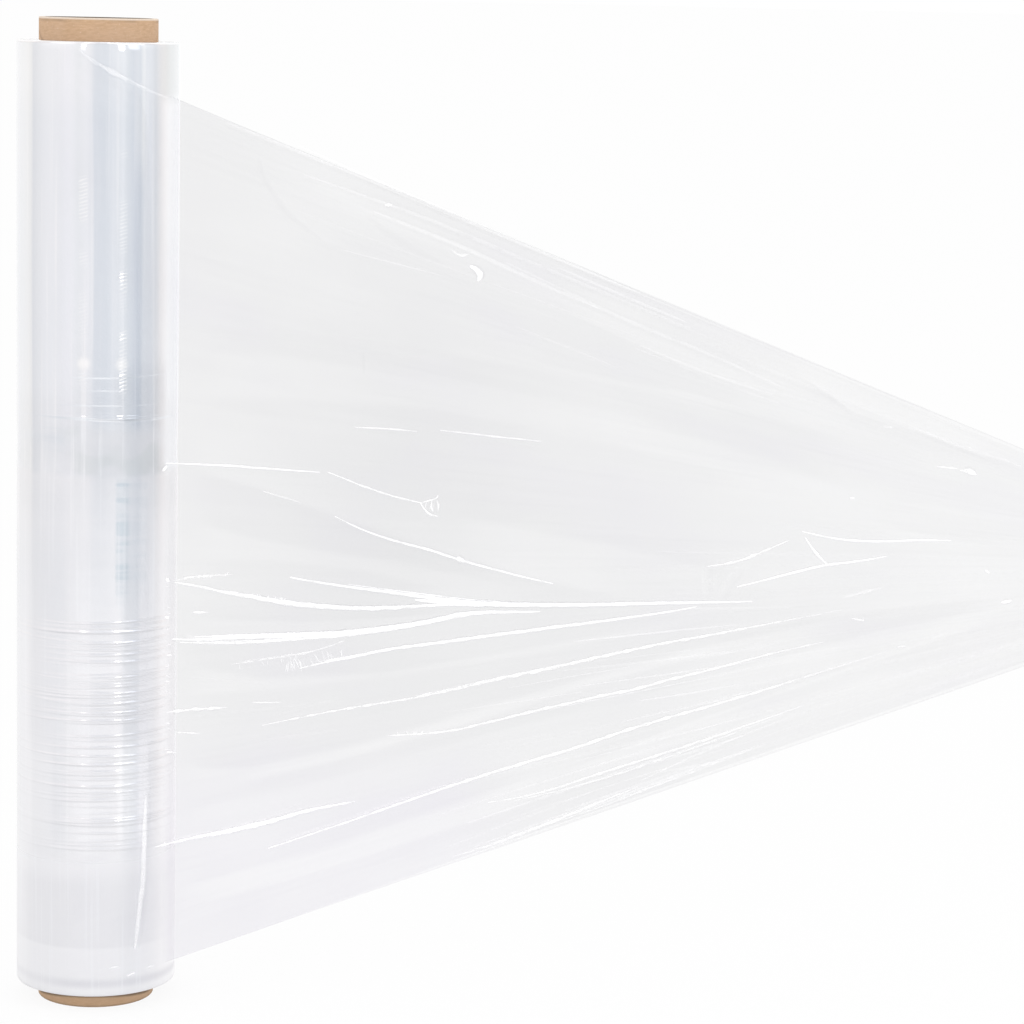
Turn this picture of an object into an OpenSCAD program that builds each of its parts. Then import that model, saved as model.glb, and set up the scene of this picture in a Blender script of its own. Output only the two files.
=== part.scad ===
// Stretch wrap roll that stands on the lower end of its cardboard core, with the first length of
// film drawn off to the right. The origin is the middle of the core's lower end, +Z runs up the
// core, and the film is drawn off along +X from the roll's front, which faces -Y.

/* [Core] */
// Bore of the cardboard core
core_bore = 50.8; // [38:0.1:76]
// Thickness of the core's wall
core_wall = 2.7; // [1.5:0.1:8]
// Length of the core below the film, down to the end that it stands on
core_foot = 8.4; // [4:0.1:25]
// Length of the core above the film
core_head = 10.75; // [4:0.1:25]
// Bevel on the edges of the core's cut ends
core_bevel = 0.35; // [0.1:0.05:0.6]

/* [Wound film] */
// Width of the film, which is the height of the wound roll
film_w = 457; // [400:1:600]
// Thickness of the wound film on the core
film_build = 10.8; // [6:0.1:40]
// Room between the core and the innermost turn
core_fit = 0.05; // [0.02:0.01:0.3]
// Rounding of the roll's upper and lower edges
edge_round = 1.2; // [0.5:0.1:2.5]
// Turns that stand out from the roll's ends
end_turns = 7; // [3:1:12]
// How far those turns stand out
end_turn_h = 0.35; // [0.1:0.05:0.8]
// Tension wrinkles that ring the lower part of the roll
wrinkles = 22; // [4:1:30]
// Height of the lowest wrinkle above the film's lower edge
wrinkle_from = 62; // [20:1:90]
// Height of the highest wrinkle above the film's lower edge
wrinkle_to = 190; // [150:1:260]
// Depth of the valleys beside a wrinkle
wrinkle_deep = 0.3; // [0.1:0.05:0.6]
// Height of the slack band above the film's lower edge
slack_at = 264; // [262:1:360]
// Height of the slack band itself
slack_w = 26; // [10:1:40]
// Depth of the slack band
slack_deep = 0.4; // [0.1:0.05:1]

/* [Drawn film] */
// Thickness of the drawn film's solid
film_t = 0.3; // [0.2:0.05:0.5]
// Room between the wound turns and the turn that leaves them
lap_fit = 0.2; // [0.1:0.05:0.5]
// Part of the last turn that is still on the roll, in degrees
lap_arc = 24; // [10:1:60]
// Distance from the core's axis to the cut end of the film
draw_reach = 475; // [300:1:540]
// Distance from the core's axis to the point that the film is pulled towards
pull_x = 578; // [560:1:900]
// Height of that point above the core's lower end
pull_z = 233; // [180:1:280]
// Radius of the curl along each edge of the film at the cut end
curl_end_r = 2.6; // [2:0.1:6]
// How far each edge has curled round at the cut end, in degrees
curl_turn = 290; // [90:5:320]
// Distance along the film before its edges start to curl
curl_start = 20; // [0:1:120]
// Height of the highest fold
fold_h = 3.4; // [0.5:0.1:6]
// Half the width of a fold
fold_w = 2.1; // [1:0.1:2.4]
// Height of the soft waves between the folds at the cut end
wave_h = 1.6; // [0:0.1:3]

/* [Hidden] */
kraft = [0.62, 0.44, 0.30];
clear_film = [0.86, 0.88, 0.92];
round_fn = 180;
core_r = core_bore / 2 + core_wall;
core_l = core_foot + film_w + core_head;
roll_r = core_r + film_build;
film_top = core_foot + film_w;

// Folds of the drawn film, from the lowest up. Each one is a straight crest that is given by its
// share of the film's width at the roll and at the cut end, by the distances where it starts and
// ends, and by its share of the highest fold.
FOLDS = [
    [0.105, 0.12, 90, 330, 0.8],
    [0.142, 0.17, 25, 150, 0.7],
    [0.210, 0.23, 120, 380, 0.6],
    [0.262, 0.30, 60, 420, 0.8],
    [0.335, 0.36, 95, 330, 0.6],
    [0.385, 0.42, 30, 240, 1.0],
    [0.455, 0.47, 60, 460, 1.0],
    [0.520, 0.53, 120, 300, 0.5],
    [0.585, 0.60, 25, 200, 0.6],
    [0.680, 0.70, 140, 260, 0.4],
    [0.830, 0.83, 200, 475, 0.5]
];

// Steps along the lap, along the free film and round each curled edge
lap_steps = 4;
draw_steps = 25;
curl_steps = 7;
base_r = roll_r + lap_fit;
lap_l = base_r * lap_arc * PI / 180;

function mix(a, b, t) = a + (b - a) * t;
function ramp(t) = let (c = min(max(t, 0), 1)) c * c * (3 - 2 * c);

// Distances along the film, from the lap's end on the roll to the cut end
ALONG = concat(
    [for (i = [0 : lap_steps - 1]) -lap_l * (1 - i / lap_steps)],
    [for (i = [0 : draw_steps]) draw_reach * i / draw_steps]
);

// The two edges lie on the roll's own edges as far as leave_x and run straight towards the pull
// point from there. The upper one slumps by slump_h as it comes away, most of that within slump_l.
slump_h = 5.4;
slump_l = 15;
leave_x = -10;
function pulled(z_roll, x) = mix(z_roll, pull_z, (x - leave_x) / (pull_x - leave_x));
function z_upper(x) =
    x < leave_x ? film_top
    : pulled(film_top - slump_h, x) + slump_h * exp((leave_x - x) / slump_l);
function z_lower(x) = x < leave_x ? core_foot : pulled(core_foot, x);

// Each edge rolls up more and more tightly round a curl that widens towards the cut end: how far
// along that is, the turn so far in degrees, the radius, and how far the curl reaches past the flat.
// On the roll the edge has turned by curl_flat, and its radius is the share curl_first of the last.
curl_flat = 8;
curl_first = 0.4;
function curling(x) = ramp((x - curl_start) / (draw_reach / 2 - curl_start));
function curl_at(x) = curl_flat + (curl_turn - curl_flat) * curling(x);
function curl_r(x) = curl_end_r * mix(curl_first, 1, max(x, 0) / draw_reach);
function curl_reach(x) = curl_r(x) * sin(min(curl_at(x), 90));

// A fold rises and dies away over fold_fade, and its feet stand at the share foot_h of its height
fold_fade = 40;
foot_h = 0.12;
function fold_size(f, x) =
    fold_h * f[4] * ramp((x - f[2]) / fold_fade) * ramp((f[3] - x) / fold_fade);
function fold_share(f, x) = mix(f[0], f[1], max(x, 0) / draw_reach);

// Lines across the flat of the film as [share of the width, height off the flat]: each fold has
// its crest and two feet, and the line half-way to the next fold carries the soft wave.
function flat_lines(x, flat_w) =
    let (
        last = len(FOLDS) - 1,
        share = [for (f = FOLDS) fold_share(f, x)],
        room = min([for (i = [0 : last]) (i == last ? 1 : share[i + 1]) - share[i]]),
        foot = min(fold_w / flat_w, room / 3),
        wave = wave_h * ramp(x / draw_reach)
    )
    concat(
        [[share[0] / 2, wave]],
        [for (i = [0 : last])
            let (
                size = fold_size(FOLDS[i], x),
                next = i == last ? 1 : share[i + 1],
                side = i % 2 == 0 ? 1 : -1
            )
            each [
                [share[i] - foot, foot_h * size],
                [share[i], size],
                [share[i] + foot, foot_h * size],
                [(share[i] + next) / 2, wave * (1 - side) / 2]
            ]]
    );

// One section across the film as [height off the flat, z], from the lower edge to the upper one
function section(x) =
    let (
        r = curl_r(x),
        turn = curl_at(x),
        low = z_lower(x) + curl_reach(x),
        high = z_upper(x) - curl_reach(x)
    )
    concat(
        [for (i = [0 : curl_steps])
            let (a = turn * (1 - i / curl_steps)) [r - r * cos(a), low - r * sin(a)]],
        [for (p = flat_lines(x, high - low)) [p[1], mix(low, high, p[0])]],
        [for (i = [0 : curl_steps])
            let (a = turn * i / curl_steps) [r - r * cos(a), high + r * sin(a)]]
    );

// The section moved by the film's thickness, square to the line through each point's neighbours
function moved(s, t) =
    let (last = len(s) - 1)
    [for (i = [0 : last])
        let (
            d = s[min(i + 1, last)] - s[max(i - 1, 0)],
            n = norm(d)
        )
        s[i] + t * [d[1], -d[0]] / n];

// Place of a point of the section in the model: round the roll at first, then straight out
function placed(u, p) =
    u < 0
    ? let (a = u / base_r * 180 / PI) [(base_r + p[0]) * sin(a), -(base_r + p[0]) * cos(a), p[1]]
    : [u, -base_r - p[0], p[1]];

// Cardboard tube with bevelled cut ends
module core() {
    inner = core_bore / 2;
    color(kraft)
    rotate_extrude($fn = round_fn)
    polygon([
        [inner, 0],
        [core_r - core_bevel, 0],
        [core_r, core_bevel],
        [core_r, core_l - core_bevel],
        [core_r - core_bevel, core_l],
        [inner, core_l]
    ]);
}

// Outline of one end of the roll from the core out to where the rounded edge starts, as [radius,
// height above that end's face], with every second turn standing out over turn_share of its width
turn_share = 0.8;
function end_outline() =
    let (
        from = core_r + core_fit,
        pitch = (roll_r - edge_round - from) / (2 * end_turns)
    )
    [for (i = [0 : 2 * end_turns - 1])
        each [
            [from + i * pitch, i % 2 == 0 ? -end_turn_h : 0],
            [from + (i + turn_share) * pitch, i % 2 == 0 ? -end_turn_h : 0]
        ]];

// Rounded edge as a quarter circle, as [radius, height above the end's face]
function edge_outline() =
    [for (a = [90 : -15 : 0])
        [roll_r - edge_round + edge_round * cos(a), edge_round * (sin(a) - 1)]];

// Side of the roll from the lower edge up: wrinkles as crests between valleys, at heights that
// drift by a share of one step in turns of drift_turn degrees, and the slack band above them
drift = 0.3;
drift_turn = 137.5;
function wrinkle_z(i) =
    core_foot + mix(wrinkle_from, wrinkle_to, (i + drift * sin(i * drift_turn)) / wrinkles);
function side_outline() =
    concat(
        [[roll_r, wrinkle_z(-1)]],
        [for (i = [0 : wrinkles - 1])
            let (valley = (wrinkle_z(i) + wrinkle_z(i - 1)) / 2)
            each [
                [roll_r - wrinkle_deep, valley],
                [roll_r, wrinkle_z(i)]
            ]],
        [
            [roll_r, core_foot + slack_at - slack_w / 2],
            [roll_r - slack_deep, core_foot + slack_at - slack_w / 6],
            [roll_r - slack_deep, core_foot + slack_at + slack_w / 6],
            [roll_r, core_foot + slack_at + slack_w / 2]
        ]
    );

// All the turns that are still on the core
module film_roll() {
    top = [for (p = concat(end_outline(), edge_outline())) [p[0], film_top + p[1]]];
    bottom = [for (p = concat(end_outline(), edge_outline())) [p[0], core_foot - p[1]]];
    side = side_outline();
    color(clear_film)
    rotate_extrude($fn = round_fn)
    polygon(concat(
        bottom,
        side,
        [for (i = [len(top) - 1 : -1 : 0]) top[i]]
    ));
}

// The last turn as it leaves the roll and the free length of film, as one thin closed skin
module film_tail() {
    inner = [for (u = ALONG) [for (p = section(u)) placed(u, p)]];
    outer = [for (u = ALONG) [for (p = moved(section(u), film_t)) placed(u, p)]];
    rows = len(ALONG);
    cols = len(inner[0]);
    skin = rows * cols;
    points = concat([for (row = inner) each row], [for (row = outer) each row]);
    in_faces = [for (i = [0 : rows - 2], j = [0 : cols - 2])
        let (a = i * cols + j, b = a + cols)
        each [[a, b, a + 1], [b, b + 1, a + 1]]];
    out_faces = [for (f = in_faces) [f[2] + skin, f[1] + skin, f[0] + skin]];
    edge_faces = [for (i = [0 : rows - 2], j = [0, cols - 1])
        let (a = i * cols + j, b = a + cols, flip = j == 0)
        each flip
        ? [[a, a + skin, b], [b, a + skin, b + skin]]
        : [[a, b, a + skin], [b, b + skin, a + skin]]];
    end_faces = [for (j = [0 : cols - 2], i = [0, rows - 1])
        let (a = i * cols + j, b = a + 1, flip = i == 0)
        each flip
        ? [[a, b, a + skin], [b, b + skin, a + skin]]
        : [[a, a + skin, b], [b, a + skin, b + skin]]];
    color(clear_film)
    polyhedron(points = points, faces = concat(in_faces, out_faces, edge_faces, end_faces));
}

core();
film_roll();
film_tail();
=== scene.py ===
import math

import bpy
import numpy as np
from mathutils import Matrix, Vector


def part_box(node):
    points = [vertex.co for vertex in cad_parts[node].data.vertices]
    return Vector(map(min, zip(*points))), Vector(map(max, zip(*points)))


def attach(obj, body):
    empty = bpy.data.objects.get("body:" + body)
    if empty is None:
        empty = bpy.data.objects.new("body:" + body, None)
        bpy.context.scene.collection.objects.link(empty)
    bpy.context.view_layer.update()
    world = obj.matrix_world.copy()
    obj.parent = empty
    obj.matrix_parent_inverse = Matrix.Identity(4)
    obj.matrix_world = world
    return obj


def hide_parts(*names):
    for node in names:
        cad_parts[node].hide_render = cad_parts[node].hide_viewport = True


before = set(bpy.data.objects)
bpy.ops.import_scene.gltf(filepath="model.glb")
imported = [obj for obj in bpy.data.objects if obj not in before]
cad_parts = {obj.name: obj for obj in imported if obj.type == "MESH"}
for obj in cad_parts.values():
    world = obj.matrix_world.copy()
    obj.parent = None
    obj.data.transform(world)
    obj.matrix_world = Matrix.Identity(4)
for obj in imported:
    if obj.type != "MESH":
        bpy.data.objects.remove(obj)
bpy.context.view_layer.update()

# Sizes are in metres and come from the frame, or repeat the part's own named values.
MM = 0.001
CORE_LOW, CORE_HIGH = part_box("core")
ROLL_LOW, ROLL_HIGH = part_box("film_roll")
TAIL_LOW, TAIL_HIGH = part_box("film_tail")
CORE_R = (CORE_HIGH.x - CORE_LOW.x) / 2
WALL = 2.7 * MM
ROLL_R = (ROLL_HIGH.x - ROLL_LOW.x) / 2
FILM_LOW, FILM_TOP = TAIL_LOW.z, TAIL_HIGH.z
REACH = TAIL_HIGH.x
EDGE_ROUND = 1.2 * MM
LAP_FIT = 0.2 * MM
LAP_ARC = math.radians(24)
PULL_X, PULL_Z = 578 * MM, 233 * MM
LEAVE_X, SLUMP_H, SLUMP_L = -10 * MM, 5.4 * MM, 15 * MM
BASE_R = ROLL_R + LAP_FIT
LAP = BASE_R * LAP_ARC
rng = np.random.default_rng(18)


def ramp(t):
    """0 below 0 and 1 above 1, with a smooth cubic step between."""
    c = np.clip(t, 0, 1)
    return c * c * (3 - 2 * c)


# Meshes


def cells(rows, cols, closed=False):
    """Quads of a grid by the numbers of their points, one to each cell, and across its last row
    and column to the first where it is closed."""
    i = np.arange(rows if closed else rows - 1)[:, None]
    j = np.arange(cols if closed else cols - 1)[None, :]
    i2, j2 = (i + 1) % rows, (j + 1) % cols
    quads = np.stack([i * cols + j, i * cols + j2, i2 * cols + j2, i2 * cols + j], -1)
    return quads.reshape(-1, 4)


def surface(name, points, uv, closed=False):
    """Mesh over a rows x columns grid of points."""
    quads = cells(*points.shape[:2], closed)
    return quad_mesh(name, points.reshape(-1, 3), quads, uv.reshape(-1, 2))


def quad_mesh(name, points, quads, uv):
    """Mesh of the given quads, smooth, with one UV pair to each point."""
    mesh = bpy.data.meshes.new(name)
    mesh.from_pydata(points.tolist(), [], quads.tolist())
    layer = mesh.uv_layers.new(name="film")
    layer.data.foreach_set("uv", uv[quads.ravel()].astype(np.float32).ravel())
    mesh.shade_smooth()
    return put(name, mesh)


def put(name, data):
    """A new object in the scene."""
    made = bpy.data.objects.new(name, data)
    bpy.context.scene.collection.objects.link(made)
    return made


def tell(piece, name, values):
    """Gives each point of a piece a value that its look reads."""
    layer = piece.data.attributes.new(name, "FLOAT", "POINT")
    layer.data.foreach_set("value", values.astype(np.float32).ravel())


# The wound film

# Rings of slack film that stand on the roll, most of them on its lower part: height above the floor
# and height of the ring off the roll, in millimetres. Fine ones are drawn from the generator among
# them, so many, between these heights and of these sizes, in millimetres too.
STRONG_RINGS = [(187, 0.18), (183, 0.12), (177, 0.10), (173, 0.12), (158, 0.14), (156, 0.12),
                (148, 0.16), (144, 0.12), (137, 0.12), (132, 0.15), (127, 0.14), (123, 0.12),
                (119, 0.12), (113, 0.14), (109, 0.10), (97, 0.16), (20.5, 0.12),
                (289.8, 0.12), (291.2, 0.08), (296.9, 0.03), (303, 0.02), (309.8, 0.06)]
FINE_RINGS = 60
FINE_FROM, FINE_TO = 80, 196
FINE_SIZE = (0.03, 0.10)
# The rings stand highest round this place, in radians from +X
RING_FRONT, RING_SPAN = math.radians(-64), 0.62
# The slack band: its height, half its width, and how far it sinks
SLACK_AT, SLACK_W, SLACK_DEEP = 273 * MM, 9 * MM, 0.25 * MM
# How far the side lies inside the solid's, to leave room for the rings
SIDE_SINK = 0.3 * MM
# Heights between which the side's rows are even, and the rows from one such height to the next.
# They are closest where the rings are.
SIDE_MARKS = [FILM_LOW + EDGE_ROUND, 78 * MM, 200 * MM, 282 * MM, 312 * MM, FILM_TOP - EDGE_ROUND]
SIDE_ROWS = [40, 400, 26, 80, 44]
# Steps of the turns on the ends: half their height, and from one to the next
END_STEP_H, END_STEP_W = 0.16 * MM, 1.35 * MM


def ring_relief(turn, z):
    """Sum of rings: each is a Gaussian across its height, which drifts and fades round the roll."""
    fine = np.sort(rng.uniform(FINE_FROM, FINE_TO, FINE_RINGS))
    rings = STRONG_RINGS + [(h, rng.uniform(*FINE_SIZE)) for h in fine]
    relief = np.zeros_like(z)
    for height, size in rings:
        phase, wide = rng.uniform(0, 2 * math.pi, 3), rng.uniform(0.34, 0.55) * MM
        drift = 0.6 * MM * np.sin(turn + phase[0]) + 0.2 * MM * np.sin(3 * turn + phase[1])
        fade = 0.25 + 0.2 * np.sin(2 * turn + phase[2])
        away = (turn - RING_FRONT + math.pi) % (2 * math.pi) - math.pi
        fade = fade + np.exp(-(away / RING_SPAN) ** 2)
        relief += size * MM * fade * np.exp(-((z - height * MM - drift) / wide) ** 2)
    return relief


def wound_film():
    """Closed tube: a profile of radius and height, from the core out under the roll, up its side
    and back in over the top, turned round Z. The side takes the rings and the slack band, and the
    ends take the fine steps of the turns."""
    turns = 144
    steps = 22
    inner = CORE_R + 0.05 * MM
    out = np.linspace(inner, ROLL_R - EDGE_ROUND, steps)
    arc = np.linspace(0, math.pi / 2, 7)[1:-1]
    side = [np.linspace(low, high, rows)[:-1]
            for low, high, rows in zip(SIDE_MARKS, SIDE_MARKS[1:], SIDE_ROWS)]
    side = np.concatenate(side + [SIDE_MARKS[-1:]])
    r = np.concatenate([
        out, ROLL_R - EDGE_ROUND * (1 - np.sin(arc)), np.full(len(side), ROLL_R),
        ROLL_R - EDGE_ROUND * (1 - np.cos(arc)), out[::-1]])
    z = np.concatenate([
        np.full(steps, FILM_LOW), FILM_LOW + EDGE_ROUND * (1 - np.cos(arc)), side,
        FILM_TOP - EDGE_ROUND * (1 - np.sin(arc)), np.full(steps, FILM_TOP)])
    on_side = np.zeros(len(r))
    on_side[steps + len(arc):steps + len(arc) + len(side)] = 1
    on_end = np.concatenate([-np.ones(steps), np.zeros(len(r) - 2 * steps), np.ones(steps)])
    turn = np.linspace(0, 2 * math.pi, turns, endpoint=False)[None, :]
    r, on_side, on_end, zz = r[:, None], on_side[:, None], on_end[:, None], z[:, None] + 0 * turn
    slack = SLACK_DEEP * np.exp(-((zz - SLACK_AT) / SLACK_W) ** 2)
    sink = SIDE_SINK + slack - ring_relief(turn, zz)
    sink += 0.04 * MM * np.sin(5 * turn + zz / (31 * MM)) * ramp((zz - FILM_LOW) / (20 * MM))
    rounded = (1 - on_side) * (np.abs(r - ROLL_R) < 2 * EDGE_ROUND)
    radius = r - sink * on_side - SIDE_SINK * rounded
    step_h = END_STEP_H * np.sin(r * 2 * math.pi / END_STEP_W + 0.4 * np.sin(turn)) - 0.2 * MM
    zz = zz + on_end * step_h * (r > inner + 0.2 * MM)
    points = np.stack([radius * np.cos(turn), radius * np.sin(turn), zz], -1)
    uv = np.stack([turn / (2 * math.pi) + 0 * zz, zz / FILM_TOP], -1)
    return surface("wound_film", points, uv, closed=True)


# The drawn film

# The camera is the photograph's own, found from the roll's outline, and the creases below are
# given by the picture's pixels. on_film puts them on the film.
CAM_PLACE = (0.2005, -1.5800, 0.4914)
CAM_DOWN, CAM_TILT = math.radians(8.893), math.radians(1.303)
CAM_LENS, CAM_SENSOR = 116.31, 36.0
PICTURE = 1024
CAM_TURN = Matrix.Rotation(math.pi / 2 - CAM_DOWN, 3, "X") @ Matrix.Rotation(CAM_TILT, 3, "Z")


def on_film(pixels):
    """Distance from the core's axis and height, in metres, of the picture's points: the line from
    the camera through each one, met with the plane of the drawn film."""
    p = np.array(pixels, float)
    focus = CAM_LENS / CAM_SENSOR * PICTURE
    ray = np.stack([(p[:, 0] - PICTURE / 2) / focus, (PICTURE / 2 - p[:, 1]) / focus,
                    -np.ones(len(p))], -1) @ np.array(CAM_TURN).T
    far = (-BASE_R - CAM_PLACE[1]) / ray[:, 1]
    return np.stack([CAM_PLACE[0] + far * ray[:, 0], CAM_PLACE[2] + far * ray[:, 2]], -1)


def z_upper(x):
    """Upper edge: straight at the pull point, with a slump that dies away from the roll."""
    along = (x - LEAVE_X) / (PULL_X - LEAVE_X)
    start = FILM_TOP - SLUMP_H
    drawn = start + (PULL_Z - start) * along + SLUMP_H * np.exp(-(x - LEAVE_X) / SLUMP_L)
    return np.where(x < LEAVE_X, FILM_TOP, drawn)


def z_lower(x):
    """Lower edge: straight at the pull point."""
    along = (x - LEAVE_X) / (PULL_X - LEAVE_X)
    return np.where(x < LEAVE_X, FILM_LOW, FILM_LOW + (PULL_Z - FILM_LOW) * along)


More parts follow.
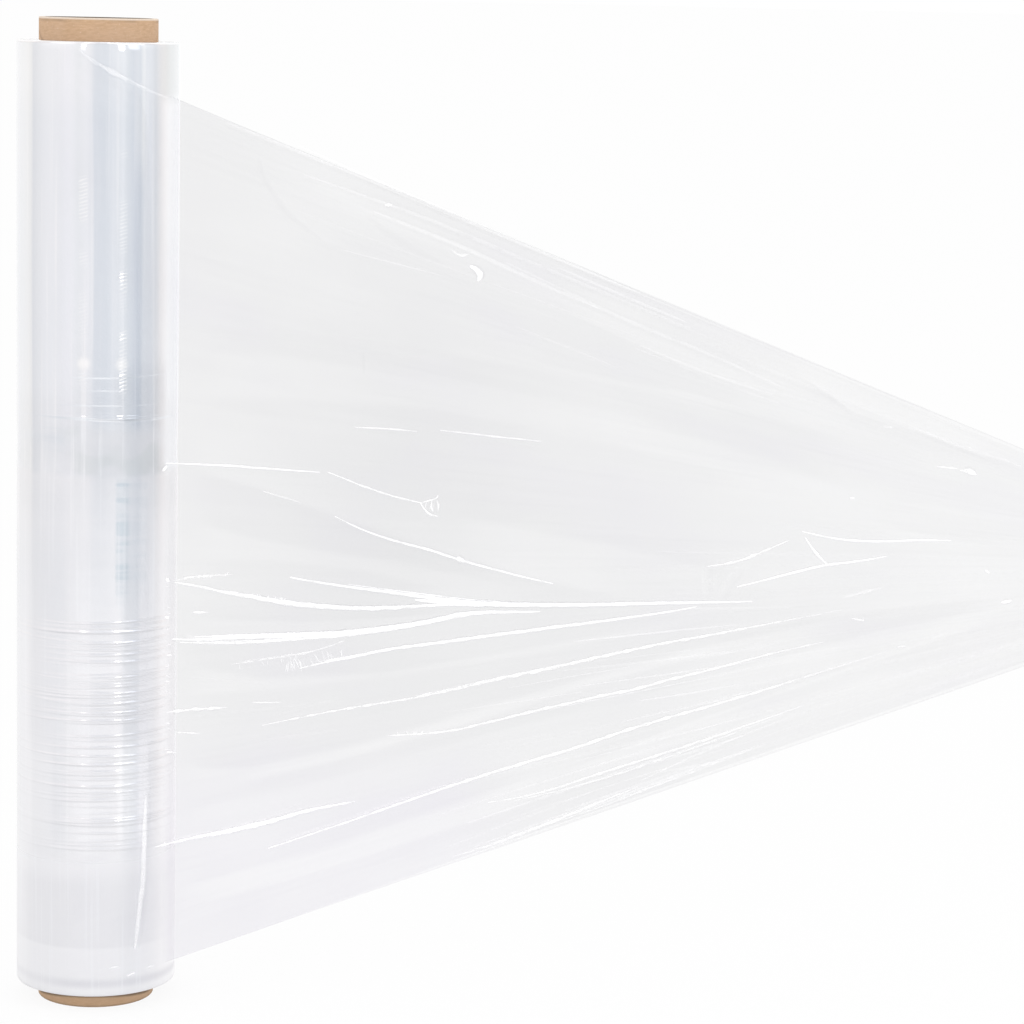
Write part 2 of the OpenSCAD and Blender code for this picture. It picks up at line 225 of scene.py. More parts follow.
# Creases of the drawn film, whose white is partly a painted highlight: name, points in pixels,
# then width in millimetres, brightness, which is negative for a grey line, number of strands and
# how puckered it is.
CREASES = [
    ("upper", [(166, 463), (175, 463), (243, 466), (320, 472)], 0.9, 0.9, 1, 0.1),
    ("upper_end", [(328, 472), (347, 479), (360, 485), (393, 496), (423, 503)], 0.8, 0.8, 1, 0.4),
    ("knot", [(420, 502), (424, 508), (429, 514), (438, 516)], 0.9, 0.9, 1, 0.3),
    ("knot_top", [(423, 502), (430, 500), (437, 498), (438, 495)], 0.8, 0.8, 1, 0.3),
    ("knot_mouth", [(432, 500), (431, 506), (433, 511)], 0.9, 0.7, 1, 0.5),
    ("knot_side", [(437, 500), (439, 506), (438, 511)], 0.8, 0.6, 1, 0.5),
    ("crossing_start", [(263, 491), (287, 498), (300, 502)], 0.8, 0.5, 1, 0.5),
    ("crossing", [(335, 516), (363, 530), (400, 542), (430, 549), (460, 559), (510, 573), (553, 583)],
     1.0, 0.9, 1, 0.1),
    ("crossing_dot", [(457, 557), (460, 559), (465, 561)], 2.2, 1.0, 1, 0.3),
    ("fork_top", [(173, 581), (193, 576), (210, 575), (232, 574)], 1.0, 0.6, 1, 0.9),
    ("fork_low", [(175, 582), (203, 586), (227, 592), (253, 596), (283, 602), (317, 605), (360, 608),
     (393, 607), (437, 604), (470, 603)], 1.5, 1.0, 2, 0.3),
    ("middle", [(290, 577), (333, 584), (387, 591), (437, 597), (493, 603), (543, 604), (600, 604),
     (665, 602), (752, 601)], 1.6, 1.0, 2, 0.1),
    ("junction", [(415, 599), (440, 601), (470, 603), (530, 604)], 1.9, 1.0, 4, 0.1),
    ("heavy", [(172, 639), (200, 639), (240, 637), (293, 635), (347, 633), (393, 627), (437, 620),
     (460, 613), (490, 611), (540, 611)], 1.7, 1.0, 5, 0.2),
    ("heavy_low", [(180, 642), (215, 642), (260, 641), (300, 638), (345, 636)], 1.1, 0.9, 3, 0.5),
    ("low_a_start", [(232, 664), (273, 658), (307, 653), (330, 646), (345, 640)], 0.8, 0.5, 2, 0.8),
    ("low_a", [(300, 668), (327, 661), (347, 658), (393, 648), (443, 642), (493, 635), (543, 629),
     (600, 621), (665, 612), (697, 606)], 1.3, 1.0, 2, 0.3),
    ("dash_a", [(167, 712), (190, 709), (227, 707)], 1.2, 0.9, 1, 0.8),
    ("dash_b", [(252, 702), (266, 702), (281, 702)], 0.7, 0.6, 1, 0.4),
    ("dash_c", [(193, 612), (208, 612)], 0.9, 0.8, 1, 0.6),
    ("dash_d", [(176, 732), (200, 733)], 0.8, 0.7, 1, 0.8),
    ("dash_e", [(167, 752), (178, 752)], 1.0, 0.8, 1, 0.6),
    ("low_b", [(262, 725), (290, 719), (340, 709), (393, 701), (427, 695), (493, 680), (547, 669),
     (600, 657), (655, 645), (705, 636), (780, 621), (842, 609)], 1.0, 0.8, 2, 0.7),
    ("low_c", [(388, 735), (450, 731), (490, 721), (543, 708), (600, 695), (640, 687), (665, 679),
     (715, 667), (757, 656), (790, 648), (825, 641)], 1.1, 0.8, 1, 0.5),
    ("foot_a", [(155, 847), (180, 840), (203, 835), (225, 831), (265, 822), (285, 816), (310, 809),
     (355, 801)], 1.5, 1.0, 4, 0.5),
    ("foot_b", [(268, 848), (315, 832), (365, 815), (410, 799), (460, 782), (525, 762), (575, 747),
     (640, 724), (705, 706), (740, 696), (840, 665), (892, 649)], 1.2, 0.8, 1, 0.4),
    ("foot_c", [(488, 802), (530, 795), (580, 780), (640, 760), (700, 741), (760, 720), (810, 702)],
     0.9, 0.6, 2, 0.6),
    ("foot_d", [(515, 800), (575, 786), (640, 766), (720, 737), (790, 711)], 0.8, 0.5, 1, 0.5),
    ("edge_a", [(452, 856), (490, 845), (530, 830), (555, 820), (600, 801), (640, 785)], 0.9, 0.5, 3, 0.6),
    ("edge_b", [(540, 826), (600, 806), (680, 776), (760, 745)], 0.8, 0.45, 2, 0.6),
    ("edge_c", [(640, 780), (700, 752), (790, 716), (870, 690)], 0.8, 0.4, 2, 0.6),
    ("far_a", [(707, 566), (740, 561), (775, 546), (788, 540)], 0.9, 0.7, 1, 0.6),
    ("far_b", [(737, 586), (765, 579), (820, 565), (850, 562), (886, 556)], 1.0, 0.9, 1, 0.1),
    ("far_c", [(805, 537), (815, 552), (827, 564)], 1.0, 0.9, 1, 0.1),
    ("far_d", [(802, 531), (820, 535), (845, 540), (890, 541), (915, 539), (950, 540)], 0.9, 0.9, 1, 0.1),
    ("far_e", [(937, 466), (957, 468)], 0.7, 0.9, 1, 0.5),
    ("far_f", [(960, 470), (968, 470), (976, 474)], 1.6, 0.9, 1, 0.6),
    ("far_g", [(842, 597), (865, 591), (885, 586)], 1.2, 0.4, 1, 0.5),
    ("high_a", [(355, 427), (388, 428), (417, 431)], 0.7, 0.7, 1, 0.2),
    ("high_b", [(440, 430), (470, 433), (505, 437), (541, 441)], 0.7, 0.6, 1, 0.3),
    ("crescent", [(470, 266), (477, 269), (481, 275), (478, 281)], 2.2, 1.0, 1, 0.1),
    ("crescent_top", [(452, 250), (460, 256), (469, 254)], 1.0, 0.5, 1, 0.5),
    ("glint", [(385, 205), (392, 205)], 1.4, 0.9, 1, 0.3),
    ("peel", [(146, 795), (145, 830), (144, 860), (143, 886), (141, 897), (138, 925), (135, 948)],
     2.1, 0.42, 1, 0),
    ("peel_start", [(146, 735), (147, 780), (146, 815), (144, 855)], 2.6, 0.2, 1, 0),
    ("peel_shade", [(149, 790), (149, 830), (148, 870), (146, 892), (143, 920), (139, 948)],
     1.8, -0.18, 1, 0),
    ("top_edge", [(79, 50), (84, 54), (93, 61), (103, 67), (112, 72), (121, 76), (130, 81), (139, 86),
     (150, 91), (160, 95), (168, 98)], 1.7, 0.30, 2, 0.4),
    ("top_edge_glow", [(99, 64), (112, 71), (128, 80)], 2.0, 0.34, 1, 0.3),
    ("dot_a", [(163, 471), (167, 466)], 1.4, 0.9, 1, 0.1),
    ("dot_b", [(167, 578), (169, 582)], 1.6, 0.9, 1, 0.1),
    ("dot_c", [(165, 617), (169, 617)], 1.2, 0.8, 1, 0.1),
    ("dot_d", [(247, 661), (253, 661)], 1.0, 0.5, 1, 0.1),
    ("hem_a", [(225, 122), (280, 144), (330, 164), (400, 192)], 1.5, 0.26, 1, 0),
    ("hem_b", [(303, 174), (370, 198), (437, 222), (520, 258), (600, 291), (690, 328)], 1.6, 0.27, 1, 0),
    ("hem_c", [(373, 211), (425, 232), (470, 250), (540, 283), (600, 309)], 1.8, 0.29, 1, 0),
    ("hem_d", [(300, 146), (403, 192), (463, 218), (540, 251), (640, 293)], 1.3, 0.28, 1, 0),
    ("hem_e", [(505, 262), (560, 288), (623, 320), (700, 350), (780, 386)], 1.5, 0.26, 1, 0),
    ("hem_f", [(640, 345), (700, 371), (773, 394)], 1.2, 0.26, 1, 0),
    ("hem_g", [(806, 377), (830, 394), (853, 411)], 1.3, 0.20, 1, 0.2),
    ("hem_h", [(915, 428), (960, 446), (1000, 458), (1020, 466)], 1.5, 0.24, 1, 0.2),
    ("hem_i", [(560, 268), (640, 303), (687, 322)], 1.2, 0.28, 1, 0),
    ("hem_j", [(700, 340), (790, 378), (880, 414), (1000, 462)], 1.2, 0.14, 1, 0),
    ("fold_a", [(259, 158), (262, 176), (273, 194), (287, 213), (305, 227), (322, 240)], 1.8, -0.13, 1, 0),
    # painted shade below hem_c
    ("fold_d", [(368, 217), (385, 231), (402, 243), (425, 255), (442, 262)], 2.6, -0.12, 1, 0),
    ("fold_b", [(363, 352), (364, 376)], 0.8, -0.13, 1, 0),
    ("fold_c", [(180, 328), (260, 334), (340, 342), (430, 352)], 3.0, -0.06, 1, 0),
    ("pinch_a", [(705, 565), (702, 580), (705, 600)], 1.5, 0.15, 1, 0.2),
    # painted shade between the pinch lines
    ("pinch_b", [(712, 566), (709, 580), (711, 594)], 1.6, -0.11, 1, 0),
    ("pinch_c", [(720, 566), (715, 578), (714, 592)], 1.2, 0.14, 1, 0.2),
    ("pinch_d", [(738, 566), (726, 580), (718, 598)], 1.5, 0.16, 1, 0.3),
    # painted shade between the pinch lines
    ("pinch_e", [(744, 572), (732, 584), (724, 600)], 1.6, -0.10, 1, 0),
    ("dot_e", [(849, 497), (855, 498)], 1.1, 0.4, 1, 0),
    ("dot_f", [(985, 569), (989, 573)], 1.3, 0.5, 1, 0),
    ("dot_g", [(851, 618), (864, 620)], 0.9, 0.5, 1, 0.3),
    ("dot_h", [(897, 646), (905, 645)], 1.0, 0.5, 1, 0),
    ("dot_i", [(930, 638), (942, 634)], 1.0, 0.35, 1, 0.2),
    ("dot_j", [(1001, 602), (1011, 600)], 1.3, 0.7, 1, 0),
    ("dot_k", [(883, 426), (892, 427)], 1.2, 0.3, 1, 0.2),
    ("dot_l", [(110, 968), (119, 966)], 0.9, 0.35, 1, 0),
    ("dot_m", [(127, 976), (135, 972)], 1.0, 0.6, 1, 0.2),
    ("dot_n", [(146, 968), (154, 965)], 0.9, 0.35, 1, 0),
]
# Rows of small gathers that stand across a crease: points in pixels, how many there are, and how
# long and how bright they are.
GATHERS = [
    ([(190, 577), (232, 574)], 14, 1.6, 0.8), ([(250, 594), (290, 600)], 14, 1.8, 0.8),
    ([(285, 667), (315, 660), (345, 650)], 24, 5.5, 0.55), ([(240, 668), (300, 656)], 14, 2.6, 0.5),
    ([(225, 637), (345, 632)], 16, 2.6, 0.6), ([(395, 733), (450, 731)], 14, 2.0, 0.5),
    ([(165, 843), (225, 831)], 16, 2.4, 0.7), ([(708, 578), (716, 588)], 5, 5.0, 0.35),
    ([(500, 799), (560, 786)], 8, 1.6, 0.4), ([(560, 816), (640, 788)], 10, 1.8, 0.5),
    ([(425, 505), (440, 507)], 5, 3.4, 0.6), ([(1000, 600), (1018, 606)], 4, 1.6, 0.4),
    ([(168, 560), (169, 765)], 17, 2.2, 0.85),
]
# Faint lines that run to the pull point, drawn from the generator: how many, between which shares
# of the film's width, between which distances in metres, and how bright at most.
FAINT = [(64, 0.02, 0.34, 0.16, 0.46, 0.42), (18, 0.35, 0.60, 0.24, 0.46, 0.28),
         (14, 0.84, 0.98, 0.08, 0.46, 0.28), (6, 0.05, 0.40, 0.03, 0.12, 0.22)]
# Creases with these names, and the faint lines, grow fainter from this distance on, in metres, to
# this share less of their brightness this much further on
FADING = ("low", "foot", "edge")
FADE_FROM, FADE_OVER, FADE_SHARE = 0.26, 0.12, 0.55
# A hem line has a grey one this far below it, in metres, as wide, in millimetres, and as strong
HEM_SHADE = (1.8 * MM, 1.5, -0.11)
# How strong the grey lines along the upper and the lower cut edge are, and where they start
EDGE_SHADES, EDGE_FROM = (-0.22, -0.13), 38 * MM
# Along a strand: from one point to the next, how far it wanders at each, and from one swelling to
# the next. Its ribbon is this much wider than its white line, and has this many points across.
STRAND_STEP, WANDER, SWELLING = 0.9 * MM, 0.03 * MM, 9 * MM
RIBBON_SHARE, RIBBON_POINTS = 2.3, 5
# The ridge that a crease raises in the film: its height and its reach on each side
RIDGE_H, RIDGE_W = 0.9 * MM, 2.2 * MM
# Waves across the film: how many from edge to edge, their phase, and half their height at the
# pulled end in millimetres
WAVES = [(5, 0.7, 0.5), (9, 2.1, 0.35), (16, 4.0, 0.22), (27, 1.2, 0.1)]
# Creases whose names start like this have no ridge of their own in the film's relief
UPRIGHT = ("peel", "top_edge", "knot", "crescent", "far_c", "dot", "pinch", "fold", "hem")

# Broad folds, which the relief doesn't have, painted as a change of tone along a line, shade on
# one side and light on the other: points in pixels, how much darker it gets above the line and
# lighter below it, and how far that reaches on each side in millimetres.
BROAD = [
    ([(180, 468), (260, 488), (340, 518), (430, 549), (553, 583), (640, 598)], -0.10, 10),
    ([(447, 513), (527, 530), (600, 543), (700, 566), (745, 592)], 0.07, 12),
    ([(247, 150), (262, 175), (287, 213), (320, 240), (365, 262)], -0.03, 7),
    ([(190, 113), (215, 180), (222, 250), (214, 330)], 0.06, 9),
    ([(303, 177), (373, 200), (437, 224), (510, 256), (600, 294), (687, 327)], 0.09, 4),
    ([(340, 195), (373, 211), (425, 232), (470, 250), (540, 283), (610, 316)], 0.08, 4),
    ([(403, 208), (463, 233), (540, 264), (620, 300)], -0.07, 3),
    ([(513, 267), (560, 291), (623, 322), (700, 353), (780, 388)], 0.08, 4),
    ([(560, 310), (623, 338), (700, 372), (773, 394)], -0.06, 4),
    ([(780, 366), (830, 394), (853, 412), (930, 436), (1020, 462)], -0.09, 5),
    ([(520, 360), (600, 377), (693, 394), (760, 412)], 0.08, 8),
    ([(430, 352), (560, 372), (700, 400), (860, 440)], -0.07, 12),
    ([(200, 350), (330, 362), (480, 385), (640, 420), (860, 490)], 0.06, 14),
    ([(190, 396), (300, 400), (430, 408), (600, 440), (760, 480)], -0.06, 12),
    ([(500, 425), (600, 436), (720, 458), (900, 500)], 0.03, 10),
    ([(185, 520), (260, 540), (380, 560), (520, 585)], 0.08, 10),
    ([(190, 560), (270, 560), (360, 570), (460, 592)], -0.06, 8),
    ([(180, 618), (300, 622), (400, 618), (470, 608)], 0.08, 6),
    ([(180, 665), (260, 678), (380, 674), (520, 650), (700, 618)], 0.09, 9),
    ([(180, 695), (280, 690), (420, 672), (560, 648), (720, 618)], -0.07, 8),
    ([(170, 768), (250, 768), (370, 742), (500, 702), (680, 652), (860, 612)], 0.12, 10),
    ([(230, 785), (330, 762), (450, 728), (600, 682), (760, 640)], -0.10, 7),
    ([(175, 812), (300, 786), (450, 744), (620, 697)], 0.06, 10),
    ([(170, 890), (240, 872), (315, 852), (430, 812), (560, 768)], 0.10, 10),
    ([(200, 905), (330, 868), (470, 822), (600, 775), (760, 712)], -0.08, 8),
    ([(560, 772), (680, 726), (800, 684), (930, 640)], 0.10, 5),
    ([(640, 742), (760, 700), (900, 652), (1010, 615)], -0.08, 5),
    ([(620, 700), (740, 668), (880, 630), (1020, 604)], 0.09, 7),
    ([(700, 640), (820, 618), (930, 604), (1020, 596)], -0.07, 7),
    ([(860, 520), (930, 535), (1020, 552)], 0.06, 8),
]


def path_height(path, x):
    """Height of a path at each distance, straight between its points."""
    return np.interp(x, path[:, 0], path[:, 1])


def lift(x, z):
    """How far the film stands off its flat, towards the front: a sharp ridge along each crease,
    which fades at its ends, and soft waves that run to the pull point and grow on the way."""
    off = np.zeros_like(z)
    for name, pixels, width, bright, _, _ in CREASES:
        if name.startswith(UPRIGHT):
            continue
        path = on_film(pixels)
        start, end = path[0, 0], path[-1, 0]
        fade = ramp((x - start + 2 * MM) / (12 * MM)) * ramp((end - x + 2 * MM) / (12 * MM))
        gap = np.abs(z - path_height(path, x)) / (RIDGE_W * (0.6 + 0.3 * width))
        off += RIDGE_H * bright * fade * np.exp(-gap)
    share = (z - z_lower(x)) / (z_upper(x) - z_lower(x))
    for waves, phase, size in WAVES:
        off += size * MM * ramp(x / REACH + 0.1) * (1 + np.sin(2 * math.pi * waves * share + phase))
    return off * ramp((x + 4 * MM) / (40 * MM))


# How much the film veils what is behind it in its middle, then how much less towards the pulled
# end, in its lower third and along its upper edge, and how much more below its middle and in a
# broad patch near the roll, with that patch's place
VEIL, VEIL_FAR, VEIL_DEEP, VEIL_TOP, VEIL_BELOW, VEIL_PATCH = 0.49, 0.17, 0.15, 0.08, 0.07, 0.17
PATCH_X, PATCH_Z = 0.146, 0.25


def veil(x, z):
    """How much light the film holds back, from 0 to 1: most in its middle, less at the pulled end
    and along the lower edge, with a step of painted shade and light across each broad fold that
    dies away on both sides."""
    share = (z - z_lower(x)) / (z_upper(x) - z_lower(x))
    far, deep = ramp((x - 0.26) / 0.14), ramp(1 - share / 0.35)
    level = VEIL - VEIL_FAR * ramp((x - 0.22) / 0.22) - VEIL_DEEP * deep * (1 - 0.55 * far)
    level = level + VEIL_BELOW * ramp(1 - share / 0.45)
    level = level - VEIL_TOP * ramp((share - 0.87) / 0.09) * ramp((x - 0.05) / 0.06)
    patch = np.exp(-((z - PATCH_Z) / 0.09) ** 2) * np.exp(-((x - PATCH_X) / 0.06) ** 2)
    level = level + VEIL_PATCH * patch
    level = level * (0.04 + 0.96 * ramp((x - 0.036) / 0.006))
    for pixels, step, reach in BROAD:
        path = on_film(pixels)
        fade = ramp((x - path[0, 0]) / (20 * MM)) * ramp((path[-1, 0] - x) / (30 * MM))
        gap = (z - path_height(path, x)) / (reach * MM)
        level = level + step * fade * np.tanh(gap * 6) * np.exp(-np.abs(gap))
    return np.clip(level, 0.02, 1)


# Each edge, with 1 for the lower and -1 for the upper one, where its scroll starts and how much
# wider that grows in millimetres. The upper one starts close to the roll and is the wider.
LOW_HEM, TOP_HEM = (z_lower, 1, 60 * MM, 1.3), (z_upper, -1, 20 * MM, 1.6)
# The distance that a scroll takes to grow, and the share of its radii that it winds in by
HEM_GROWS, WIND_IN = 170 * MM, 0.25


def scroll(x, hem, curl):
    """The scroll that an edge is rolled into, an ellipse that winds inwards: the height at which
    the flat ends, then its points' distances off the flat, heights and angles."""
    edge, up, start, growth = hem
    grown = ramp((x - start) / HEM_GROWS)
    wide, deep = (0.4 + growth * grown) * MM, (0.25 + 1.2 * grown) * MM
    turn, tight = 0.2 + 5.6 * grown, 1 - WIND_IN * curl
    end = edge(x) + up * (wide * np.sin(np.minimum(turn, math.pi / 2)))
    angle = turn * curl
    off = lift(x, end) + deep * (1 - np.cos(angle) * tight - WIND_IN * curl)
    return end, off, end - up * (wide * np.sin(angle) * tight), angle


def placed(u, off, z):
    """Points from the distance along the film, the height off its flat and z: round the roll
    behind the front line, and straight out past it."""
    angle = np.minimum(u, 0) / BASE_R
    radius = BASE_R + off
    return np.stack([
        np.where(u < 0, radius * np.sin(angle), u), -radius * np.cos(angle), z], -1)


def drawn_film():
    """Open skin: sections across the film at steps along it. Each section is a scroll, the flat
    with its creases and waves, and a scroll again."""
    along = np.concatenate([np.linspace(-LAP, 0, 10)[:-1], np.linspace(0, REACH, 236)])
    x = along[:, None]
    curl = np.linspace(0, 1, 22)[None, :]
    low, low_off, low_z, _ = scroll(x, LOW_HEM, curl[:, ::-1])
    high, top_off, top_z, angle = scroll(x, TOP_HEM, curl)
    even = np.linspace(0, 1, 340)[None, :]
    share = even - 0.3 * np.sin(2 * math.pi * even) / (2 * math.pi)
    flat_z = low + (high - low) * share
    off = np.concatenate([low_off, lift(x, flat_z), top_off], 1)
    z = np.concatenate([low_z, flat_z, top_z], 1)
    flat_tone = veil(x, flat_z)
    curl_tone = 0.6 * (np.abs(angle) < 1.6)
    tone = np.concatenate(
        [flat_tone[:, :1] * curl_tone[:, ::-1], flat_tone, flat_tone[:, -1:] * curl_tone], 1)
    u = x + 0 * z
    across = np.linspace(0, 1, z.shape[1])[None, :]
    uv = np.stack([(u + LAP) / (REACH + LAP), across + 0 * z], -1)
    piece = surface("drawn_film", placed(u, off + 0.1 * MM, z)[:, ::-1], uv[:, ::-1])
    tell(piece, "veil", tone[:, ::-1])
    return piece


def smooth_path(path, count):
    """Even points along the line through the given ones, with its corners rounded, and the
    line's length."""
    p = path
    for _ in range(3):
        near, far = 0.75 * p[:-1] + 0.25 * p[1:], 0.25 * p[:-1] + 0.75 * p[1:]
        p = np.concatenate([p[:1], np.stack([near, far], 1).reshape(-1, 2), p[-1:]])
    length = np.concatenate([[0], np.cumsum(np.hypot(*np.diff(p, axis=0).T))])
    at = np.linspace(0, length[-1], count)
    return np.stack([np.interp(at, length, side) for side in p.T], -1), length[-1]


def strand(path, width, bright, pucker, seed, fading=False):
    """A tuck of doubled film along a path: a ribbon that follows the skin, its width swelling and
    thinning, its UV running along it in tenths of a metre from its own seed, and across it from
    -1 to 1. Its look holds how bright and how puckered it is; where it is fading, it loses
    brightness towards the pulled end."""
    _, length = smooth_path(path, 8)
    count = max(10, int(length / STRAND_STEP))
    line, length = smooth_path(path, count)
    t = np.linspace(0, 1, count)
    aim = np.gradient(line, axis=0)
    aim /= np.linalg.norm(aim, axis=1)[:, None]
    square = np.stack([-aim[:, 1], aim[:, 0]], -1)
    wander = np.cumsum(rng.normal(0, WANDER, count))
    wander = (wander - np.linspace(wander[0], wander[-1], count)) * np.sin(math.pi * t)
    line = line + square * wander[:, None]
    half = width * RIBBON_SHARE * MM / 2 * (0.3 + 0.7 * np.sin(math.pi * t) ** 0.6)
    half *= 1 + (0.06 + 0.45 * pucker) * np.sin(t * length / SWELLING * 2 * math.pi + seed)
    rough = np.convolve(rng.normal(0, 1, count + 2), (0.3, 0.4, 0.3), "valid").clip(-1.2, 1.2)
    half *= 1 + (0.04 + 0.30 * pucker) * rough
    across = np.linspace(-1, 1, RIBBON_POINTS)
    x = line[:, :1] + half[:, None] * across * square[:, :1]
    z = line[:, 1:] + half[:, None] * across * square[:, 1:]
    hump = 0.35 * half[:, None] * (1 - across ** 2)
    off = lift(x, z) + 0.3 * MM + hump
    flat = 0 * x
    uv = np.stack([t[:, None] * length / 0.1 + seed + flat, across[None, :] + flat], -1)
    if fading:
        bright = bright * (1 - FADE_SHARE * ramp((x - FADE_FROM) / FADE_OVER))
    return placed(x, off, z), uv, flat + bright, flat + pucker


def tucks(name, ribbons):
    """Joins ribbons into one mesh, with how bright and puckered each is."""
    quads, base = [], 0
    for grid, _, _, _ in ribbons:
        rows, cols = grid.shape[:2]
        quads.append(cells(rows, cols)[:, [0, 3, 2, 1]] + base)
        base += rows * cols
    points = np.concatenate([r[0].reshape(-1, 3) for r in ribbons])
    uvs = np.concatenate([r[1].reshape(-1, 2) for r in ribbons])
    piece = quad_mesh(name, points, np.concatenate(quads), uvs)
    for value, index in (("bright", 2), ("pucker", 3)):
        tell(piece, value, np.concatenate([r[index].ravel() for r in ribbons]))
    return piece


def gather(path, at, length, bright, seed):
    """One small gather: a short strand that stands across a path at a share of its length."""
    line, _ = smooth_path(path, 40)
    index = int(at * 38)
    aim = line[index + 1] - line[index]
    aim /= np.linalg.norm(aim)
    lean = rng.uniform(-0.5, 0.5)
    across = np.array([-aim[1], aim[0]]) + lean * aim
    middle = line[index] + across * rng.uniform(-0.3, 0.3) * length
    ends = np.stack([middle - across * length / 2, middle, middle + across * length / 2])
    return strand(ends, rng.uniform(0.35, 0.6), bright, 0.2, seed)


def faint_line(low, high, start, end, bright, seed):
    """One faint line at a steady share of the film's width, with a slow drift."""
    share, drift = rng.uniform(low, high), rng.uniform(-0.012, 0.012)
    first = rng.uniform(start, end - 0.03)
    x = np.linspace(first, min(end, first + rng.uniform(0.03, 0.2)), 8)
    at = share + drift * np.linspace(-1, 1, 8)
    path = np.stack([x, z_lower(x) + at * (z_upper(x) - z_lower(x))], -1)
    size, light, pucker = rng.uniform(0.4, 1.2), rng.uniform(0.3, 1), rng.uniform(0, 0.6)
    return strand(path, size, bright * light, pucker, seed, True)


def edge_line(height, inset, shade):
    """The film's cut edge, a grey line along the hem."""
    x = np.linspace(EDGE_FROM, REACH, 60)
    path = np.stack([x, height(x) + inset], -1)
    return strand(path, 0.45, shade, 0, 0)


def crease_tucks():
    """Each crease as its main strand and, where it has more, thinner ones that run beside it, with
    the gathers, the faint lines and the two cut edges."""
    ribbons = []
    for index, (name, pixels, width, bright, strands, pucker) in enumerate(CREASES):
        path, fading = on_film(pixels), name.startswith(FADING)
        ribbons.append(strand(path, width, bright, pucker, index, fading))
        if name.startswith("hem"):
            below, wide, shade = HEM_SHADE
            ribbons.append(strand(path - (0, below), wide, shade, 0, index))
        for extra in range(strands - 1):
            skip = rng.uniform(0.05, 0.35) * (path[-1, 0] - path[0, 0])
            x = np.linspace(path[0, 0] + skip, path[-1, 0] - skip * rng.uniform(0, 1), 12)
            side = (-1) ** extra * (0.4 + 0.45 * width) * rng.uniform(0.5, 1.4) * MM
            side = side * np.linspace(1, 0.2, 12)
            beside = np.stack([x, path_height(path, x) + side], -1)
            thin = width * rng.uniform(0.35, 0.7)
            ribbons.append(strand(beside, thin, bright * 0.9, pucker, index + 0.5 + extra, fading))
    for pixels, count, length, bright in GATHERS:
        for k in range(count):
            size = length * MM * rng.uniform(0.5, 1)
            ribbons.append(gather(on_film(pixels), rng.uniform(), size, bright * rng.uniform(0.5, 1), k))
    for count, low, high, start, end, bright in FAINT:
        for k in range(count):
            ribbons.append(faint_line(low, high, start, end, bright, k))
    ribbons.append(edge_line(z_upper, -0.5 * MM, EDGE_SHADES[0]))
    ribbons.append(edge_line(z_lower, 0.5 * MM, EDGE_SHADES[1]))
    return tucks("film_tucks", ribbons)


# Materials


def operator(operation, reflected=False):
    """An operator that adds a Math node, between an output and a number or another output."""
    def apply(one, other):
        return one.look.maths(operation, *((other, one) if reflected else (one, other)))
    return apply


class Num:
    """A node's output, on which + - * / and the steps add nodes."""

    def __init__(self, look, socket):
        self.look, self.socket = look, socket

    __add__, __radd__ = operator("ADD"), operator("ADD", True)
    __sub__, __rsub__ = operator("SUBTRACT"), operator("SUBTRACT", True)
    __mul__, __rmul__ = operator("MULTIPLY"), operator("MULTIPLY", True)
    __truediv__ = operator("DIVIDE")

    def step(self, low, high):
        """0 at low and 1 at high, smooth between."""
        return self.look.node("MapRange", {"interpolation_type": "SMOOTHSTEP"},
                              {0: self, 1: low, 2: high, 3: 0.0, 4: 1.0})

    def band(self, start, full, fade, end):
        """1 from full to fade, and 0 before start and past end, smooth between."""
        return self.step(start, full) * self.step(end, fade)


